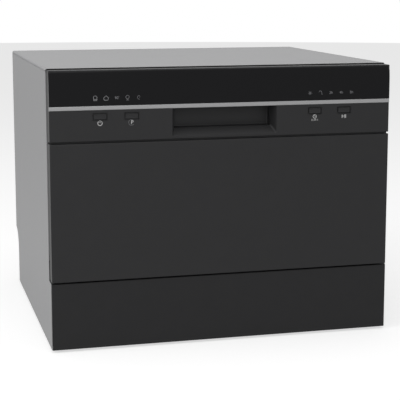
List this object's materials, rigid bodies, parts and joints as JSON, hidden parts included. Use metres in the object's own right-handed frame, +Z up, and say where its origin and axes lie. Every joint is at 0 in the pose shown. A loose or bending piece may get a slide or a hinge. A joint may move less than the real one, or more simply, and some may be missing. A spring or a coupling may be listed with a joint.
{
  "type": "countertop dishwasher",
  "caption": "Countertop dishwasher with drop-down door, control panel with handle recess, sliding wire rack, spray arm, filters, pumps and plinth.",
  "frame": {"origin": "middle of the footprint, on the surface the feet stand on", "axes": "+X to the right seen from the front, -Y out of the door, +Z up"},
  "size_m": [0.55, 0.5, 0.438],
  "materials": {
    "silver_paint": "satin silver paint",
    "black_paint": "matte black, as on the door",
    "black_gloss": "gloss black",
    "trim_silver": "satin silver",
    "plinth_black": "matte black",
    "base_black": "matte black",
    "stainless": "brushed",
    "zinc": "zinc-plated steel",
    "rubber_grey": "soft",
    "plastic_grey": "satin",
    "plastic_white": "satin",
    "plastic_blue": "satin",
    "rack_coating": "grey coated wire",
    "circuit_board": "circuit board"
  },
  "bodies": {
    "cabinet": {"left_side_panel": "silver_paint", "right_side_panel": "silver_paint", "top_panel": "silver_paint", "back_panel": "silver_paint", "base_tray": "base_black", "kick_plate": "plinth_black", "tub": "stainless", "door_gasket": "rubber_grey", "rack_rails": "zinc", "sump": "plastic_grey", "filter_plate": "stainless", "salt_container": "plastic_white", "spray_feed": "plastic_grey", "wash_pump": "plastic_grey", "water_heater": "zinc", "drain_pump": "base_black", "drain_pipe": "base_black", "drain_spigot": "base_black", "inlet_valve": "plastic_white", "air_break": "plastic_white", "cord_gland": "base_black", "float_switch": "plastic_grey", "hinge_bracket_left": "zinc", "hinge_bracket_right": "zinc", "door_spring_left": "zinc", "door_spring_right": "zinc", "latch_striker": "zinc"},
    "door": {"door_panel": "black_paint", "control_panel": "black_paint", "control_fascia": "black_gloss", "trim_strip": "trim_silver", "control_board": "circuit_board", "door_lock": "plastic_grey", "door_liner": "stainless", "dispenser": "plastic_grey", "hinge_arm_left": "zinc", "hinge_arm_right": "zinc"},
    "rack": {"wire_rack": "rack_coating", "wheel_holders": "plastic_grey", "shelf_wire": "rack_coating"},
    "front_wheels": {"front_wheels": "plastic_grey"},
    "rear_wheels": {"rear_wheels": "plastic_grey"},
    "cup_shelf": {"cup_shelf": "plastic_grey"},
    "cutlery_basket": {"cutlery_basket": "plastic_grey"},
    "power_button": {"power_button": "black_gloss"},
    "programme_button": {"programme_button": "black_gloss"},
    "delay_button": {"delay_button": "black_gloss"},
    "start_button": {"start_button": "black_gloss"},
    "detergent_lid": {"detergent_lid": "plastic_white"},
    "rinse_cap": {"rinse_cap": "plastic_blue"},
    "spray_arm": {"spray_arm": "plastic_grey"},
    "filter_cylinder": {"filter_cylinder": "plastic_grey"},
    "salt_cap": {"salt_cap": "plastic_blue"},
    "wash_impeller": {"wash_impeller": "zinc"},
    "drain_impeller": {"drain_impeller": "plastic_white"},
    "leak_float": {"leak_float": "plastic_white"},
    "foot_front_left": {"foot_front_left": "base_black"},
    "foot_front_right": {"foot_front_right": "base_black"},
    "foot_rear_left": {"foot_rear_left": "base_black"},
    "foot_rear_right": {"foot_rear_right": "base_black"}
  },
  "joints": [
    {"name": "door_hinge", "type": "hinge", "parent": "cabinet", "child": "door", "pos_m": [0, -0.243, 0.127], "axis": [1, 0, 0], "range_deg": [0, 90], "deforming": ["door_spring_left", "door_spring_right"]},
    {"name": "rack_slide", "type": "slide", "parent": "cabinet", "child": "rack", "axis": [0, -1, 0], "range_m": [0, 0.135]},
    {"name": "front_wheels_roll", "type": "hinge", "parent": "rack", "child": "front_wheels", "pos_m": [0, -0.045, 0.1695], "axis": [1, 0, 0], "range_deg": [0, 646]},
    {"name": "rear_wheels_roll", "type": "hinge", "parent": "rack", "child": "rear_wheels", "pos_m": [0, 0.163, 0.1695], "axis": [1, 0, 0], "range_deg": [0, 646]},
    {"name": "cup_shelf_fold", "type": "hinge", "parent": "rack", "child": "cup_shelf", "pos_m": [-0.2045, 0.0225, 0.302], "axis": [0, -1, 0], "range_deg": [0, 90]},
    {"name": "cutlery_basket_lift", "type": "slide", "parent": "rack", "child": "cutlery_basket", "axis": [0, 0, 1], "range_m": [0, 0.09]},
    {"name": "spray_arm_spin", "type": "hinge", "parent": "cabinet", "child": "spray_arm", "pos_m": [0, 0.003, 0.168], "axis": [0, 0, 1], "continuous": true},
    {"name": "filter_twist", "type": "hinge", "parent": "cabinet", "child": "filter_cylinder", "pos_m": [0.078, -0.063, 0.146], "axis": [0, 0, 1], "range_deg": [0, 90]},
    {"name": "salt_cap_turn", "type": "hinge", "parent": "cabinet", "child": "salt_cap", "pos_m": [-0.118, -0.079, 0.146], "axis": [0, 0, 1], "range_deg": [0, 360]},
    {"name": "wash_impeller_spin", "type": "hinge", "parent": "cabinet", "child": "wash_impeller", "pos_m": [0, 0.077, 0.058], "axis": [1, 0, 0], "continuous": true},
    {"name": "drain_impeller_spin", "type": "hinge", "parent": "cabinet", "child": "drain_impeller", "pos_m": [0.15, -0.027, 0.058], "axis": [1, 0, 0], "continuous": true},
    {"name": "leak_float_rise", "type": "slide", "parent": "cabinet", "child": "leak_float", "axis": [0, 0, 1], "range_m": [0, 0.008]},
    {"name": "detergent_lid_slide", "type": "slide", "parent": "door", "child": "detergent_lid", "axis": [1, 0, 0], "range_m": [0, 0.06]},
    {"name": "rinse_cap_turn", "type": "hinge", "parent": "door", "child": "rinse_cap", "pos_m": [0.038, -0.209, 0.302], "axis": [0, 1, 0], "range_deg": [0, 90]},
    {"name": "power_button_press", "type": "slide", "parent": "door", "child": "power_button", "axis": [0, 1, 0], "range_m": [0, 0.0018], "stiffness_N_per_m": 400, "springref_m": -0.001},
    {"name": "programme_button_press", "type": "slide", "parent": "door", "child": "programme_button", "axis": [0, 1, 0], "range_m": [0, 0.0018], "stiffness_N_per_m": 400, "springref_m": -0.001},
    {"name": "delay_button_press", "type": "slide", "parent": "door", "child": "delay_button", "axis": [0, 1, 0], "range_m": [0, 0.0018], "stiffness_N_per_m": 400, "springref_m": -0.001},
    {"name": "start_button_press", "type": "slide", "parent": "door", "child": "start_button", "axis": [0, 1, 0], "range_m": [0, 0.0018], "stiffness_N_per_m": 400, "springref_m": -0.001},
    {"name": "foot_front_left_turn", "type": "hinge", "parent": "cabinet", "child": "foot_front_left", "pos_m": [-0.211, -0.205, 0], "axis": [0, 0, 1], "range_deg": [0, 360]},
    {"name": "foot_front_right_turn", "type": "hinge", "parent": "cabinet", "child": "foot_front_right", "pos_m": [0.211, -0.205, 0], "axis": [0, 0, 1], "range_deg": [0, 360]},
    {"name": "foot_rear_left_turn", "type": "hinge", "parent": "cabinet", "child": "foot_rear_left", "pos_m": [-0.211, 0.185, 0], "axis": [0, 0, 1], "range_deg": [0, 360]},
    {"name": "foot_rear_right_turn", "type": "hinge", "parent": "cabinet", "child": "foot_rear_right", "pos_m": [0.211, 0.185, 0], "axis": [0, 0, 1], "range_deg": [0, 360]}
  ],
  "couplings": [
    {"joint": "rack_slide", "follows": "door_hinge", "m_per_rad": 0.08589},
    {"joint": "front_wheels_roll", "follows": "door_hinge", "ratio": 7.1575},
    {"joint": "rear_wheels_roll", "follows": "door_hinge", "ratio": 7.1575}
  ]
}
